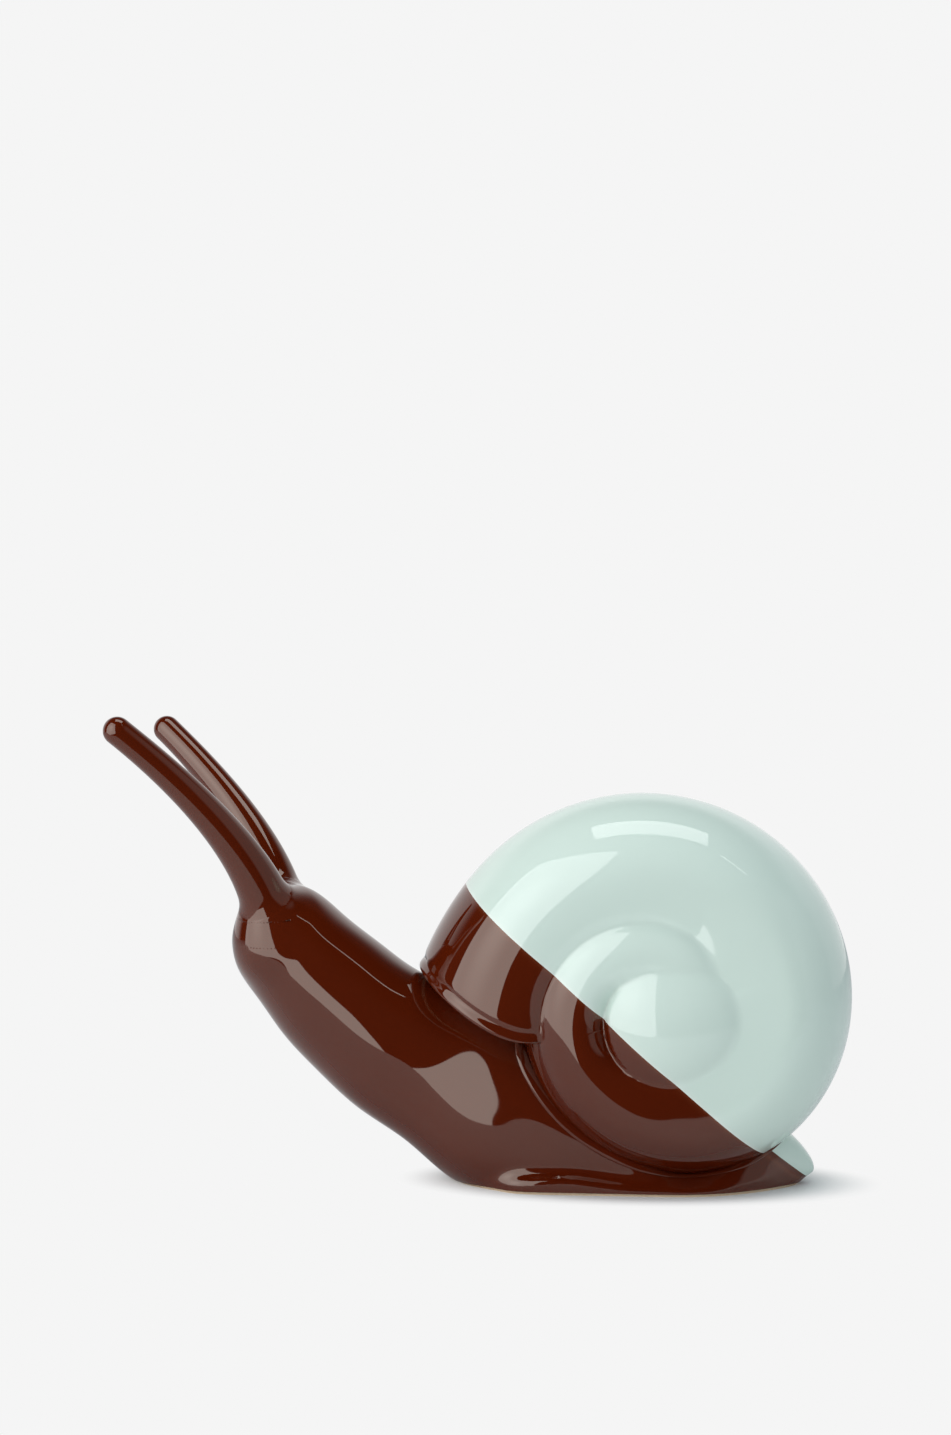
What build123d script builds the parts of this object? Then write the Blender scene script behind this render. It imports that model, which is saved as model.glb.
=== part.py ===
import math
import os

from build123d import *

# Snail figurine in glazed slip-cast clay. Millimetres: X runs from head to tail, Y to the
# snail's right, Z up. The origin is in the middle of the sole, on the surface it stands on.

# Clay and glaze
glaze = 0.5              # fired glaze coat
slip = 0.8               # joining clay between two castings
body_wall = 5.0
shell_wall = 4.0
dry_foot = 1.0           # bare clay left above the sole
drain_bore = 10.0        # hole in the sole that the casting was poured out of
vent_bore = 8.0          # air way from the shell into the neck
vent_angle = 181.0       # its place about the shell's pole
vent_place_share = 0.73  # and out from the pole, of the last whorl's radius
vent_slope_angle = 48.9   # its lean from upright
overrun = 10.0           # how far a cut runs past what it cuts

# Shell: whorls coiled about a cross axis, the pole, alike on both sides
shell_radius = 85.2      # from the pole straight up to the outside of the shell
shell_half_thickness = 43.0   # crest of the last whorl
apex_half_thickness = 49.5    # middle of the coil
groove_height = 36.1     # from the pole straight up to the groove between the whorls
core_radius = 4.0        # plain middle of the coil
apex_button_radius = 6.0      # first round of the coil, a low button over the middle
apex_button_rise = 0.6
seam_step = 0.2          # how far the coil's end lies under its start where they meet
pole_x = 7.2
saddle_floor = 3.9       # clay under the shell
lip_flare = 2.7          # how far the mouth's front edge turns out
lip_height = 17.0        # mouth's front edge above the pole
outer_growth_share = 1.53     # growth per turn along the part of the outline that shows
inner_growth_share = 2.2      # growth per turn of the grooves and of the inner whorls
crest_share = 0.4             # place of a whorl's crest, from its groove to its outside
roundness_share = 1.6         # a whorl's half thickness to its half breadth, at most
mouth_angle = 192.0           # where the last whorl ends
mouth_slack_angle = 8.0       # how far past that the mouth is cut
growth_change_angle = -40.0   # where the inner growth gives way to the outer one
flare_start_angle = 145.0
flare_angle = 25.0            # turn from the flare's start to the mouth's front edge

# Body: head, neck, foot and tail in one casting
head_reach = 164.0       # origin to the front of the head
head_height = 117.0
neck_half_width = 25.0
foot_half_width = 36.5
foot_depth = 6.0         # how far the sections run below the sole before it is cut flat
tail_reach = 69.0
tail_height = 19.0

# Tentacles
tentacle_rise = 75.0
tentacle_forward = 54.0
tentacle_spread = 33.0
tentacle_root_radius = 11.0
tentacle_tip_radius = 5.6
tentacle_root_x_share = 0.899    # of the head's reach
tentacle_root_y_share = 0.5      # of the neck's half width
tentacle_root_z_share = 0.895    # of the head's height

# Dip line of the pale glaze: a plane across the figure, falling towards the tail
dip_height = 58.0        # where it crosses the vertical through the origin
dip_slope_angle = 41.1

# Neck sections from the head back: belly x and z, back x and z, half width and fullness,
# as shares of the head's reach, the head's height and the neck's half width
neck_shares = [
    (-1.001, 0.808, -0.989, 0.885, 0.20, 1.0),
    (-0.995, 0.756, -0.960, 0.944, 0.48, 1.0),
    (-0.979, 0.692, -0.896, 0.998, 0.74, 1.0),
    (-0.936, 0.607, -0.817, 0.991, 0.90, 1.0),
    (-0.872, 0.483, -0.726, 0.896, 0.98, 1.0),
    (-0.790, 0.363, -0.637, 0.800, 1.02, 1.0),
    (-0.686, 0.234, -0.540, 0.706, 1.06, 0.95),
    (-0.567, 0.125, -0.427, 0.650, 1.12, 0.82),
    (-0.439, -0.009, -0.320, 0.585, 1.24, 0.72),
]

# Foot sections from the chest back: belly x, back x, back z and half width, as shares of
# the tail's reach, the tail's height and the foot's half width
foot_shares = [
    (-0.72, -0.57, 2.60, 0.95),
    (-0.40, -0.35, 1.42, 0.98),
    (-0.06, -0.05, 0.62, 1.00),
    (0.26, 0.26, 0.53, 0.98),
    (0.52, 0.53, 0.83, 0.85),
    (0.725, 0.74, 1.26, 0.60),
]
foot_fullness_share = 0.62
foot_taper_share = 0.16          # how much wider a foot section is below than at half height

# Tail end: belly x and z, back x and z, half width, as shares of the same sizes
tail_shares = [
    (0.870, -0.18, 0.875, 0.99, 0.335),
    (0.957, 0.08, 0.957, 0.68, 0.18),
    (0.995, 0.24, 0.995, 0.45, 0.07),
]
tail_fullness_share = 0.8

# End of the hollow in the chest, in the neck's shares
chest_end_shares = (-0.345, 0.047, -0.335, 0.32, 0.80, 0.8)
hollow_stations = slice(1, 8)    # neck sections that the hollow runs through
section_points = 16
turn_steps = 12                  # shell sections per turn
tentacle_steps = 7
tip_steps = 4                    # sections of a tentacle's round tip


def whorl_radius(angle):
    """Outside of the whorl at its own angle, which runs on through the turns."""
    if angle >= growth_change_angle:
        return shell_radius * outer_growth_share ** ((angle - 90) / 360)
    joined = shell_radius * outer_growth_share ** ((growth_change_angle - 90) / 360)
    return joined * inner_growth_share ** ((angle - growth_change_angle) / 360)


def groove_radius(angle):
    """Groove on the inner side of the whorl at its own angle."""
    return groove_height * inner_growth_share ** ((angle - 90) / 360)


def crest_radius(angle):
    groove = groove_radius(angle)
    return groove + crest_share * (whorl_radius(angle) - groove)


def crest_height(angle):
    """Half thickness at the whorl's crest, which climbs towards the apex."""
    climb = apex_half_thickness - shell_half_thickness
    return apex_half_thickness - climb * inner_growth_share ** ((angle - mouth_angle) / 360)


def flank(angle, start_radius, inset, count):
    """A whorl's outer flank, part of an ellipse: points from a start radius to its crest."""
    crest = crest_radius(angle)
    breadth = whorl_radius(angle) - crest
    tall = min(crest_height(angle), roundness_share * breadth)
    foot = crest_height(angle) - tall
    first = math.asin(min((start_radius - crest) / (breadth - inset), 1))
    turns = [first * (1 - step / count) for step in range(count + 1)]
    return [(crest + (breadth - inset) * math.sin(turn), foot + (tall - inset) * math.cos(turn))
            for turn in turns]


def whorl_side(angle, start_radius, inset, count):
    """One whorl's side as it shows: outer flank, crest and the slope into the groove."""
    groove = groove_radius(angle)
    bottom = flank(angle - 360, groove, inset, 1)[0][1]
    points = flank(angle, start_radius, inset, count)
    crest, top = points[-1]
    half_share = 0.5
    slope = (crest + (groove - crest) * half_share, top - (top - bottom) * half_share**2)
    return points + [slope, (groove, bottom)]


def flare(angle):
    """Extra radius where the mouth turns out."""
    return lip_flare * max(0, (angle - flare_start_angle) / flare_angle) ** 2


def pole():
    """Axis of the coil, as high as the lowest whorl and the clay under it."""
    return Vector(pole_x, 0, whorl_radius(-90) + saddle_floor)


def coil_plane(angle):
    """Half plane through the pole: its x runs outwards, its y is the figure's Y."""
    turn = math.radians(angle)
    outwards = Vector(math.cos(turn), 0, math.sin(turn))
    onwards = Vector(-math.sin(turn), 0, math.cos(turn))
    return Plane(origin=pole(), x_dir=outwards, z_dir=onwards)


def mirrored_face(edges, top):
    """Closed outline of edges on one side, the core line and the same edges opposite."""
    core = Line(top, (top[0], -top[1]))
    return make_face(edges + [core] + [mirror(edge, about=Plane.XZ) for edge in edges])


def shell_section(angle, inset):
    """Section through every whorl at one angle, drawn in from the outside by an inset."""
    last = whorl_side(angle, whorl_radius(angle), inset, 6)
    reach = last[0][0] - groove_radius(angle)
    spread = flare(angle)
    last = [(r + spread * ((r - last[-1][0]) / reach) ** 2, h) for r, h in last]
    last[0] = (last[0][0], 0)
    inner = whorl_side(angle - 360, groove_radius(angle), inset, 3)
    apex = apex_half_thickness - inset
    groove, bottom = inner[-1]
    dome = [inner[-1], ((groove + core_radius) / 2, (bottom + apex + apex) / 3), (core_radius, apex)]
    edges = [Spline(*points) for points in (last, inner, dome)]
    return coil_plane(angle) * mirrored_face(edges, dome[-1])


def hollow_section(angle, inset):
    """Section of the shell's hollow: one smooth curve under all the whorls."""
    crest = crest_radius(angle)
    height = flank(angle - 360, groove_radius(angle), 0, 1)[0][1] - inset
    breadth = whorl_radius(angle) - crest - inset
    turns = [math.radians(step) for step in (90, 72, 54, 36, 18, 0)]
    curve = [(crest + breadth * math.sin(turn), height * math.cos(turn)) for turn in turns]
    top = (core_radius, height)
    edges = [Spline(*curve), Line(curve[-1], top)]
    return coil_plane(angle) * mirrored_face(edges, top)


def coil(section, inset, plug_radius, plug_height):
    """Full turn of a section, in two halves, with its plain middle filled."""
    step_angle = 360 / turn_steps
    angles = [mouth_angle - 360 + step_angle * step for step in range(turn_steps + 1)]
    faces = [section(angle, inset) for angle in angles[:-1]]
    faces.append(section(mouth_angle, inset + seam_step))
    half = turn_steps // 2
    plug = Pos(*pole()) * Rot(90, 0, 0) * Cylinder(plug_radius, plug_height + plug_height)
    return loft(faces[: half + 1]) + loft(faces[half:]) + plug


def mouth_cut(inset):
    """Wedge under the mouth: from the lip's front edge down to where the coil starts."""
    last_angle = mouth_angle + mouth_slack_angle
    reach = whorl_radius(mouth_angle) + flare(mouth_angle) + overrun + overrun
    front_x = -math.sqrt((whorl_radius(flare_start_angle + flare_angle) + lip_flare) ** 2 - lip_height**2)
    front = Vector(front_x, 0, lip_height)
    start = whorl_radius(last_angle - 360) + slip + slip
    back = coil_point(start, mouth_angle)
    along = (back - front).normalized()
    up = Vector(-along.Z, 0, along.X)
    lift = up * inset
    corners = [front - along * overrun + lift, back + lift, coil_point(reach, last_angle)]
    outline = [(corner.X, corner.Z) for corner in corners]
    prism = extrude(make_face(Polyline(*outline, close=True)), amount=apex_half_thickness + overrun, both=True)
    return Pos(*pole()) * Rot(90, 0, 0) * prism


def coil_point(radius, angle):
    """Point in the middle plane, from the pole."""
    turn = math.radians(angle)
    return Vector(radius * math.cos(turn), 0, radius * math.sin(turn))


def shell_form(inset):
    """Outside of the shell drawn in by an inset, with its mouth cut."""
    height = apex_half_thickness + apex_button_rise - inset
    return coil(shell_section, inset, apex_button_radius - inset, height) - mouth_cut(inset)


def shell_hollow():
    """Room inside the shell, walled all round, the mouth included."""
    wall = glaze + shell_wall
    grooves = [flank(angle - 360, groove_radius(angle), 0, 1)[0][1] for angle in (-90, 0, 90)]
    return coil(hollow_section, wall, apex_button_radius, min(grooves) - wall - wall) - mouth_cut(wall)


def body_section(belly, back, half_width, fullness, taper, inset, shift):
    """Section across the body: a rounded figure from belly to back, wider below by its taper."""
    rise = (back - belly).normalized()
    height = (back - belly).length - inset - inset
    plane = Plane(origin=belly + rise * inset, x_dir=(0, 1, 0), z_dir=Vector(0, 1, 0).cross(rise))
    half = height / 2
    points = []
    for step in range(section_points):
        turn = math.tau * step / section_points
        side = math.copysign(abs(math.sin(turn)) ** fullness, math.sin(turn))
        up = -math.copysign(abs(math.cos(turn)) ** fullness, math.cos(turn))
        points.append(((half_width - inset) * side * (1 - taper * up), half + half * up))
    outline = make_face(Spline(*points, periodic=True))
    return plane.offset(shift) * outline


def neck_station(shares, inset, shift):
    belly_x, belly_z, back_x, back_z, width, fullness = shares
    belly = Vector(belly_x * head_reach, 0, belly_z * head_height)
    back = Vector(back_x * head_reach, 0, back_z * head_height)
    taper = foot_taper_share * (1 - fullness)
    return body_section(belly, back, width * neck_half_width, fullness, taper, inset, shift)


def foot_station(shares, inset):
    belly_x, back_x, back_z, width = shares
    belly = Vector(belly_x * tail_reach, 0, -foot_depth)
    back = Vector(back_x * tail_reach, 0, back_z * tail_height)
    half_width = width * foot_half_width
    return body_section(belly, back, half_width, foot_fullness_share, foot_taper_share, inset, 0)


def tail_station(shares, inset, shift):
    belly_x, belly_z, back_x, back_z, width = shares
    belly = Vector(belly_x * tail_reach, 0, belly_z * tail_height)
    back = Vector(back_x * tail_reach, 0, back_z * tail_height)
    half_width = width * foot_half_width
    return body_section(belly, back, half_width, tail_fullness_share, 0, inset, shift)


def above(height):
    """Everything over a height, as a block."""
    span = head_reach + tail_reach + shell_radius + overrun
    block = Box(span + span, span + span, span, align=(Align.CENTER, Align.CENTER, Align.MIN))
    return Pos(0, 0, height) * block


def body_form(inset):
    """Head, neck, foot and tail drawn in by an inset, not yet cut flat below."""
    sections = [neck_station(neck_shares[0], inset, inset)]
    sections += [neck_station(shares, inset, 0) for shares in neck_shares[1:]]
    sections += [foot_station(shares, inset) for shares in foot_shares]
    sections += [tail_station(shares, inset, 0) for shares in tail_shares[:-1]]
    sections += [tail_station(tail_shares[-1], inset, -inset)]
    return loft(sections)


def neck_hollow():
    """Room inside the head, the neck and the chest."""
    wall = glaze + body_wall
    stations = neck_shares[hollow_stations]
    sections = [neck_station(stations[0], wall, wall)]
    sections += [neck_station(shares, wall, 0) for shares in stations[1:]]
    sections += [neck_station(chest_end_shares, 0, 0)]
    return loft(sections)


def tentacle_point(share, side):
    """Centre line of a tentacle: it rises from the head, leaning out and ever more forward."""
    lean_share = 1.6
    spread_share = 1.15
    x = -tentacle_root_x_share * head_reach - tentacle_forward * share**lean_share
    y = tentacle_root_y_share * neck_half_width + tentacle_spread * share**spread_share
    z = tentacle_root_z_share * head_height + tentacle_rise * share
    return Vector(x, side * y, z)


def tentacle_radius(share):
    """A tentacle thins quickly above its root and slowly towards its tip."""
    thinning_share = 1.7
    swell = tentacle_root_radius - tentacle_tip_radius
    return tentacle_tip_radius + swell * (1 - share) ** thinning_share


def tentacle_plane(share, side):
    """Plane across a tentacle's centre line."""
    step_share = 0.01
    low = tentacle_point(max(share - step_share, 0), side)
    high = tentacle_point(max(share, step_share), side)
    return Plane(origin=tentacle_point(share, side), x_dir=(0, 1, 0), z_dir=(high - low).normalized())


def tentacle_form(side, inset):
    """A tentacle drawn in by an inset: one tube from its root to its round tip."""
    shares = [step / tentacle_steps for step in range(tentacle_steps + 1)]
    sections = [tentacle_plane(share, side) * Circle(tentacle_radius(share) - inset) for share in shares]
    radius = tentacle_tip_radius - inset
    for step in range(1, tip_steps + 1):
        turn = math.radians(90 * step / (tip_steps + 1))
        ahead = tentacle_plane(1, side).offset(radius * math.sin(turn))
        sections.append(ahead * Circle(radius * math.cos(turn)))
    return loft(sections)


def dip_plane():
    """Plane of the dip line: the pale glaze is on its upper side, towards the tail."""
    slope = math.radians(dip_slope_angle)
    upwards = Vector(math.sin(slope), 0, math.cos(slope))
    return Plane(origin=(0, 0, dip_height), x_dir=(0, 1, 0), z_dir=upwards)


def drain_hole():
    """Upright hole through the sole into the chest."""
    x = chest_end_shares[0] * head_reach - drain_bore / 2
    return Pos(x, 0, 0) * Cylinder(drain_bore / 2, body_wall + body_wall + overrun)


def vent_hole():
    """Slanting hole through the shell's mouth into the neck."""
    centre = pole() + coil_point(whorl_radius(vent_angle) * vent_place_share, vent_angle)
    deep = body_wall + shell_wall + slip + overrun
    return Pos(*centre) * Rot(0, vent_slope_angle, 0) * Cylinder(vent_bore / 2, deep + deep)


def save(name, shape):
    export_step(shape, os.path.join("parts", name + ".step"))


def tentacles(bare_body, coated_body):
    """Both tentacles with their glaze and joining clay: saves them, returns their clay."""
    joint_body = body_form(glaze - slip)
    clays = []
    beads = []
    for name, side in (("left", -1), ("right", 1)):
        clay = tentacle_form(side, glaze)
        save(name + "_tentacle", clay - joint_body)
        save("brown_glaze_" + name + "_tentacle", tentacle_form(side, 0) - clay - coated_body)
        beads += ((clay & joint_body) - bare_body).solids()
        clays.append(clay)
    save("tentacle_joint_slip", Compound(children=beads))
    return clays


def castings(bare_shell, bare_body):
    """Shell and body castings, hollow and vented, and the clay that joins them."""
    seated_shell = shell_form(glaze - slip)
    vent = vent_hole()
    save("shell_casting", bare_shell - shell_hollow() - vent)
    save("body_casting", bare_body - seated_shell - neck_hollow() - vent - drain_hole())
    save("shell_joint_slip", ((seated_shell - bare_shell) & bare_body) - vent)


def dipped(coat, brown_name, mint_name):
    """A coat parted along the dip line into its brown and its mint glaze."""
    save(brown_name, split(coat, bisect_by=dip_plane(), keep=Keep.BOTTOM))
    save(mint_name, split(coat, bisect_by=dip_plane(), keep=Keep.TOP))


def main():
    os.makedirs("parts", exist_ok=True)
    bare_shell = shell_form(glaze)
    coated_body = body_form(0)
    bare_body = body_form(glaze) & above(0)
    castings(bare_shell, bare_body)
    clays = tentacles(bare_body, coated_body)
    dipped(shell_form(0) - bare_shell - coated_body, "brown_glaze_shell", "mint_glaze_shell")
    body_coat = (coated_body - bare_body - bare_shell) & above(dry_foot)
    for clay in clays:
        body_coat = body_coat - clay
    dipped(body_coat, "brown_glaze_body", "mint_glaze_tail")


main()
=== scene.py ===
import math

import bmesh
import bpy
import numpy as np
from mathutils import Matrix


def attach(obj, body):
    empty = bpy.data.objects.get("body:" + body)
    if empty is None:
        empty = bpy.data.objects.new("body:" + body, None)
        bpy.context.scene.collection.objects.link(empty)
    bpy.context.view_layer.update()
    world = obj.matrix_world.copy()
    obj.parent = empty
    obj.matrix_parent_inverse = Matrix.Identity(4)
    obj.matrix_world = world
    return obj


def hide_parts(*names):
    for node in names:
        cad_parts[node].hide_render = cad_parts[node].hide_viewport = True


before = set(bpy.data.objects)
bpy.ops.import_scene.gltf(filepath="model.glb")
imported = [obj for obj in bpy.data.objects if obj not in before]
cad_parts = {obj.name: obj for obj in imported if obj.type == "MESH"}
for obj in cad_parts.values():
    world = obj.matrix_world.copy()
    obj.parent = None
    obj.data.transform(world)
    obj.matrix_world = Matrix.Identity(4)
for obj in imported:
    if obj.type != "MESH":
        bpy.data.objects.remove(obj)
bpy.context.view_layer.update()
print("frame loaded,", len(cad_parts), "nodes")

mm = 0.001  # shapes below are worked out in millimetres
glaze = {"depth": 0.5, "clayGap": 0.05, "shellCore": 0.965, "dryFoot": 1.0, "overlap": 1.5}
dip = {
    "height": 58.0, "slope": math.radians(41.1), "waver": 0.35, "waverLength": 17.0, "waverStart": 0.7,
    # the dip edge's pale line, its width and strength: partly thinner glaze, partly a painted highlight
    "tailShift": 2.4, "tailTurn": (30, 45), "tailStart": 40, "edgeWidth": 0.7, "edgeThinAndHighlight": 0.55,
}


# Mesh tools


def smooth(low, high, value):
    # S-curve from 0 at low to 1 at high
    share = np.clip((value - low) / (high - low), 0, 1)
    return share * share * (3 - 2 * share)


def gridTriangles(rows, columns, loopRows=False, loopColumns=False):
    # two triangles for each cell of a grid whose points are numbered row by row
    r = np.arange(rows if loopRows else rows - 1)
    c = np.arange(columns if loopColumns else columns - 1)
    r, c = [side.ravel() for side in np.meshgrid(r, c, indexing="ij")]
    up, on = (r + 1) % rows, (c + 1) % columns
    a, b, d, e = r * columns + c, r * columns + on, up * columns + on, up * columns + c
    return np.concatenate([np.stack([a, b, d], 1), np.stack([a, d, e], 1)])


def joined(surfaces):
    # several surfaces as one list of points and triangles
    starts = np.cumsum([0] + [len(points) for points, _ in surfaces])
    points = np.concatenate([points for points, _ in surfaces])
    return points, np.concatenate([tris + start for (_, tris), start in zip(surfaces, starts)])


def compact(points, triangles):
    # leaves out the points that no triangle uses
    used, index = np.unique(triangles, return_inverse=True)
    return points[used], index.reshape(-1, 3)


def weld(points, triangles):
    # merges points that coincide, then drops triangles that have shrunk to nothing
    _, first, index = np.unique(np.round(points, 4), axis=0, return_index=True, return_inverse=True)
    triangles = index.reshape(-1)[triangles]
    a, b, c = triangles.T
    return compact(points[first], triangles[(a != b) & (b != c) & (c != a)])


def outward(points, triangles):
    # turns every triangle round if the volume that they enclose comes out negative
    a, b, c = (points[triangles[:, corner]] for corner in range(3))
    volume = np.einsum("ij,ij->i", a, np.cross(b, c)).sum()
    return points, triangles if volume > 0 else triangles[:, ::-1]


def pointNormals(points, triangles):
    # mean of the normals round each point, weighted by area
    a, b, c = (points[triangles[:, corner]] for corner in range(3))
    flat = np.cross(b - a, c - a)
    total = np.zeros_like(points)
    for corner in range(3):
        np.add.at(total, triangles[:, corner], flat)
    return total / np.maximum(np.linalg.norm(total, axis=1), 1e-9)[:, None]


def clip(points, triangles, field):
    # keeps the part of a surface where a field is positive, and cuts the triangles that it crosses at zero
    above = field > 0
    count = above[triangles].sum(axis=1)
    crossing = triangles[(count == 1) | (count == 2)]
    lone = above[crossing].sum(axis=1) == 1
    corner = np.argmax(above[crossing] == lone[:, None], axis=1)
    each = np.arange(len(crossing))
    odd, second, third = (crossing[each, (corner + step) % 3] for step in range(3))
    edges = np.concatenate([np.stack([odd, second], 1), np.stack([odd, third], 1)])
    ends, index = np.unique(np.sort(edges, axis=1), axis=0, return_inverse=True)
    share = field[ends[:, 0]] / (field[ends[:, 0]] - field[ends[:, 1]])
    cuts = points[ends[:, 0]] + share[:, None] * (points[ends[:, 1]] - points[ends[:, 0]])
    near, far = np.split(index.reshape(-1) + len(points), 2)
    ears = np.stack([odd, near, far], 1)[lone]
    lower = np.stack([near, second, third], 1)[~lone]
    upper = np.stack([near, third, far], 1)[~lone]
    kept = np.concatenate([triangles[count == 3], ears, lower, upper])
    return weld(np.concatenate([points, cuts]), kept)


def openEdges(triangles):
    # directed edges that have a triangle on one side only
    edges = np.concatenate([triangles[:, [0, 1]], triangles[:, [1, 2]], triangles[:, [2, 0]]])
    size = edges.max() + 1
    return edges[~np.isin(edges[:, 0] * size + edges[:, 1], edges[:, 1] * size + edges[:, 0])]


def coat(points, triangles, depth):
    # a skin: the surface, the same drawn in along its normals, and a wall along each open edge
    count = len(points)
    inner = points - depth * pointNormals(points, triangles)
    a, b = openEdges(triangles).T
    walls = np.concatenate([np.stack([b, a, a + count], 1), np.stack([b, a + count, b + count], 1)])
    rims = np.concatenate([np.stack([a, b], 1), np.stack([a, b], 1) + count])
    return np.concatenate([points, inner]), np.concatenate([triangles, triangles[:, ::-1] + count, walls]), rims


def makePiece(name, surface, material, nodes=(), rims=None, fields=None):
    # a mesh object in metres at the origin, riding on the one body
    points, triangles = surface
    mesh = bpy.data.meshes.new(name)
    mesh.from_pydata((points * mm).tolist(), [], triangles.tolist(), shade_flat=False)
    for field, values in (fields or {}).items():
        mesh.attributes.new(field, "FLOAT", "POINT").data.foreach_set("value", values.astype(np.float32))
    if rims is not None:
        ends = np.zeros(len(mesh.edges) * 2, np.int64)
        mesh.edges.foreach_get("vertices", ends)
        ends = np.sort(ends.reshape(-1, 2), axis=1)
        rims = np.sort(rims, axis=1)
        hard = np.isin(ends[:, 0] * len(points) + ends[:, 1], rims[:, 0] * len(points) + rims[:, 1])
        mesh.attributes.new("sharp_edge", "BOOLEAN", "EDGE").data.foreach_set("value", hard)
    mesh.materials.append(material)
    piece = bpy.data.objects.new(name, mesh)
    bpy.context.scene.collection.objects.link(piece)
    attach(piece, "root")
    if nodes:
        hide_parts(*nodes)
    print(" ", name, len(triangles), "triangles,", len(openEdges(triangles)), "open edges")
    return piece


# Glaze and clay materials


def ramp(tree, value, ends, start=0.0, end=1.0, shape="SMOOTHSTEP"):
    # start below the first end, end above the second, and a straight or S-shaped line between them
    node = tree.nodes.new("ShaderNodeMapRange")
    node.interpolation_type = shape
    node.inputs["From Min"].default_value, node.inputs["From Max"].default_value = ends
    node.inputs["To Min"].default_value, node.inputs["To Max"].default_value = start, end
    tree.links.new(value, node.inputs["Value"])
    return node.outputs["Result"]


def combined(tree, operation, first, second):
    # sum, product or the like of two sockets
    node = tree.nodes.new("ShaderNodeMath")
    node.operation = operation
    tree.links.new(first, node.inputs[0])
    tree.links.new(second, node.inputs[1])
    return node.outputs[0]


def mixed(tree, factor, first, second):
    # colour between two others, each a socket or a plain colour
    node = tree.nodes.new("ShaderNodeMix")
    node.data_type = "RGBA"
    tree.links.new(factor, node.inputs["Factor"])
    for socket, color in ((node.inputs[6], first), (node.inputs[7], second)):
        if isinstance(color, tuple):
            socket.default_value = color
        else:
            tree.links.new(color, socket)
    return node.outputs[2]


def glazeTone():
    # colour of a fired glaze: paler along the dip's edge line, partly for thinner glaze and partly as a painted
    # highlight of the raised edge, and deeper in faint random clouds
    group = bpy.data.node_groups.new("glazeTone", "ShaderNodeTree")
    for socket, kind in (("Glaze", "NodeSocketColor"), ("ThinAndHighlight", "NodeSocketColor"), ("Deep", "NodeSocketColor"),
                         ("Cloud Size", "NodeSocketFloat"), ("Ripple", "NodeSocketFloat")):
        group.interface.new_socket(socket, in_out="INPUT", socket_type=kind)
    group.interface.new_socket("Color", in_out="OUTPUT", socket_type="NodeSocketColor")
    group.interface.new_socket("Height", in_out="OUTPUT", socket_type="NodeSocketFloat")
    nodes, link = group.nodes, group.links.new
    source, result = nodes.new("NodeGroupInput"), nodes.new("NodeGroupOutput")
    place = nodes.new("ShaderNodeTexCoord")
    cloud = nodes.new("ShaderNodeTexNoise")
    cloud.inputs["Detail"].default_value = 3
    link(place.outputs["Object"], cloud.inputs["Vector"])
    link(source.outputs["Cloud Size"], cloud.inputs["Scale"])
    ripple = nodes.new("ShaderNodeTexNoise")
    ripple.inputs["Scale"].default_value = 55
    ripple.inputs["Detail"].default_value = 1
    link(place.outputs["Object"], ripple.inputs["Vector"])
    link(combined(group, "MULTIPLY", ripple.outputs["Fac"], source.outputs["Ripple"]), result.inputs["Height"])
    # painted highlight: a point attribute pales the colour along the dip's edge line, partly for thinner glaze there
    # and partly as the highlight of its raised edge
    thinAndHighlight = nodes.new("ShaderNodeAttribute")
    thinAndHighlight.attribute_name = "thinAndHighlight"
    deep = ramp(group, cloud.outputs["Fac"], (0.42, 0.8), end=0.5, shape="LINEAR")
    clouded = mixed(group, deep, source.outputs["Glaze"], source.outputs["Deep"])
    link(mixed(group, thinAndHighlight.outputs["Fac"], clouded, source.outputs["ThinAndHighlight"]), result.inputs["Color"])
    return group


def glazed(name, tone, finish):
    # glossy glaze over clay, with the slow ripple of a melted surface
    material = bpy.data.materials.new(name)
    material.use_nodes = True
    nodes, link = material.node_tree.nodes, material.node_tree.links.new
    shader = nodes["Principled BSDF"]
    shader.inputs["Roughness"].default_value = finish["roughness"]
    shader.inputs["IOR"].default_value = finish["ior"]
    shader.inputs["Specular Tint"].default_value = finish["shine"]
    look = nodes.new("ShaderNodeGroup")
    look.node_tree = tone
    for socket in ("Glaze", "ThinAndHighlight", "Deep", "Cloud Size", "Ripple"):
        look.inputs[socket].default_value = finish[socket]
    bump = nodes.new("ShaderNodeBump")
    bump.inputs["Strength"].default_value = finish["bump"]
    bump.inputs["Distance"].default_value = 0.001
    link(look.outputs["Color"], shader.inputs["Base Color"])
    link(look.outputs["Height"], bump.inputs["Height"])
    link(bump.outputs["Normal"], shader.inputs["Normal"])
    material.diffuse_color = finish["Glaze"]
    return material


def bareClay(name, finish):
    # matt fired clay: fine grain in colour and height
    material = bpy.data.materials.new(name)
    material.use_nodes = True
    nodes, link = material.node_tree.nodes, material.node_tree.links.new
    shader = nodes["Principled BSDF"]
    shader.inputs["Roughness"].default_value = 0.85
    place = nodes.new("ShaderNodeTexCoord")
    grain = nodes.new("ShaderNodeTexNoise")
    grain.inputs["Scale"].default_value = finish["grain"]
    grain.inputs["Detail"].default_value = 6
    link(place.outputs["Object"], grain.inputs["Vector"])
    tone = mixed(material.node_tree, grain.outputs["Fac"], finish["dark"], finish["light"])
    link(tone, shader.inputs["Base Color"])
    bump = nodes.new("ShaderNodeBump")
    bump.inputs["Strength"].default_value = 0.3
    bump.inputs["Distance"].default_value = 0.0002
    link(grain.outputs["Fac"], bump.inputs["Height"])
    link(bump.outputs["Normal"], shader.inputs["Normal"])
    material.diffuse_color = finish["light"]
    return material


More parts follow.
